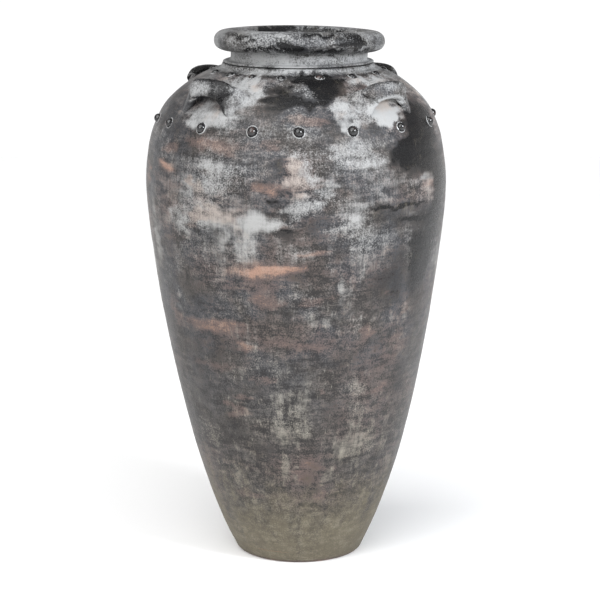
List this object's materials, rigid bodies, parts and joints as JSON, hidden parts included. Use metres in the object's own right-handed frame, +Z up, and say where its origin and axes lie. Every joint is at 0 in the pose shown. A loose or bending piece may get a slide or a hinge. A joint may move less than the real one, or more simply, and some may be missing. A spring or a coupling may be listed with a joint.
{
  "type": "storage jar",
  "caption": "Large coil-built clay pithos with a narrow foot, a wide shoulder, strap handles, rows of clay pellets, a short flanged neck and a thick rolled rim.",
  "frame": {"origin": "centre of the foot's underside, on the surface that the jar stands on", "axes": "+Z up along the jar's axis, -Y towards the front, +X to the right seen from the front"},
  "size_m": [0.6193, 0.6194, 1.1],
  "materials": {
    "body_clay": "satin charcoal and pale grey wash over terracotta, worn and streaked",
    "handle_clay": "satin charcoal wash, worn pale on the outer face",
    "pellet_clay": "glossy near-black"
  },
  "bodies": {
    "root": {"foot_slab": "body_clay", "wall_ring_1": "body_clay", "wall_ring_2": "body_clay", "wall_ring_3": "body_clay", "wall_ring_4": "body_clay", "wall_ring_5": "body_clay", "wall_ring_6": "body_clay", "shoulder_ring": "body_clay", "neck_ring": "body_clay", "collar_band": "body_clay", "rim_roll": "body_clay", "handle_front_right": "handle_clay", "handle_back_right": "handle_clay", "handle_back_left": "handle_clay", "handle_front_left": "handle_clay", "shoulder_stud_01": "pellet_clay", "shoulder_stud_02": "pellet_clay", "shoulder_stud_03": "pellet_clay", "shoulder_stud_04": "pellet_clay", "shoulder_stud_05": "pellet_clay", "shoulder_stud_06": "pellet_clay", "shoulder_stud_07": "pellet_clay", "shoulder_stud_08": "pellet_clay", "shoulder_stud_09": "pellet_clay", "shoulder_stud_10": "pellet_clay", "shoulder_stud_11": "pellet_clay", "shoulder_stud_12": "pellet_clay", "shoulder_stud_13": "pellet_clay", "shoulder_stud_14": "pellet_clay", "shoulder_stud_15": "pellet_clay", "shoulder_stud_16": "pellet_clay", "neck_stud_01": "pellet_clay", "neck_stud_02": "pellet_clay", "neck_stud_03": "pellet_clay", "neck_stud_04": "pellet_clay", "neck_stud_05": "pellet_clay", "neck_stud_06": "pellet_clay", "neck_stud_07": "pellet_clay", "neck_stud_08": "pellet_clay", "neck_stud_09": "pellet_clay", "neck_stud_10": "pellet_clay", "neck_stud_11": "pellet_clay", "neck_stud_12": "pellet_clay", "neck_stud_13": "pellet_clay", "neck_stud_14": "pellet_clay", "neck_stud_15": "pellet_clay", "neck_stud_16": "pellet_clay"}
  },
  "joints": []
}
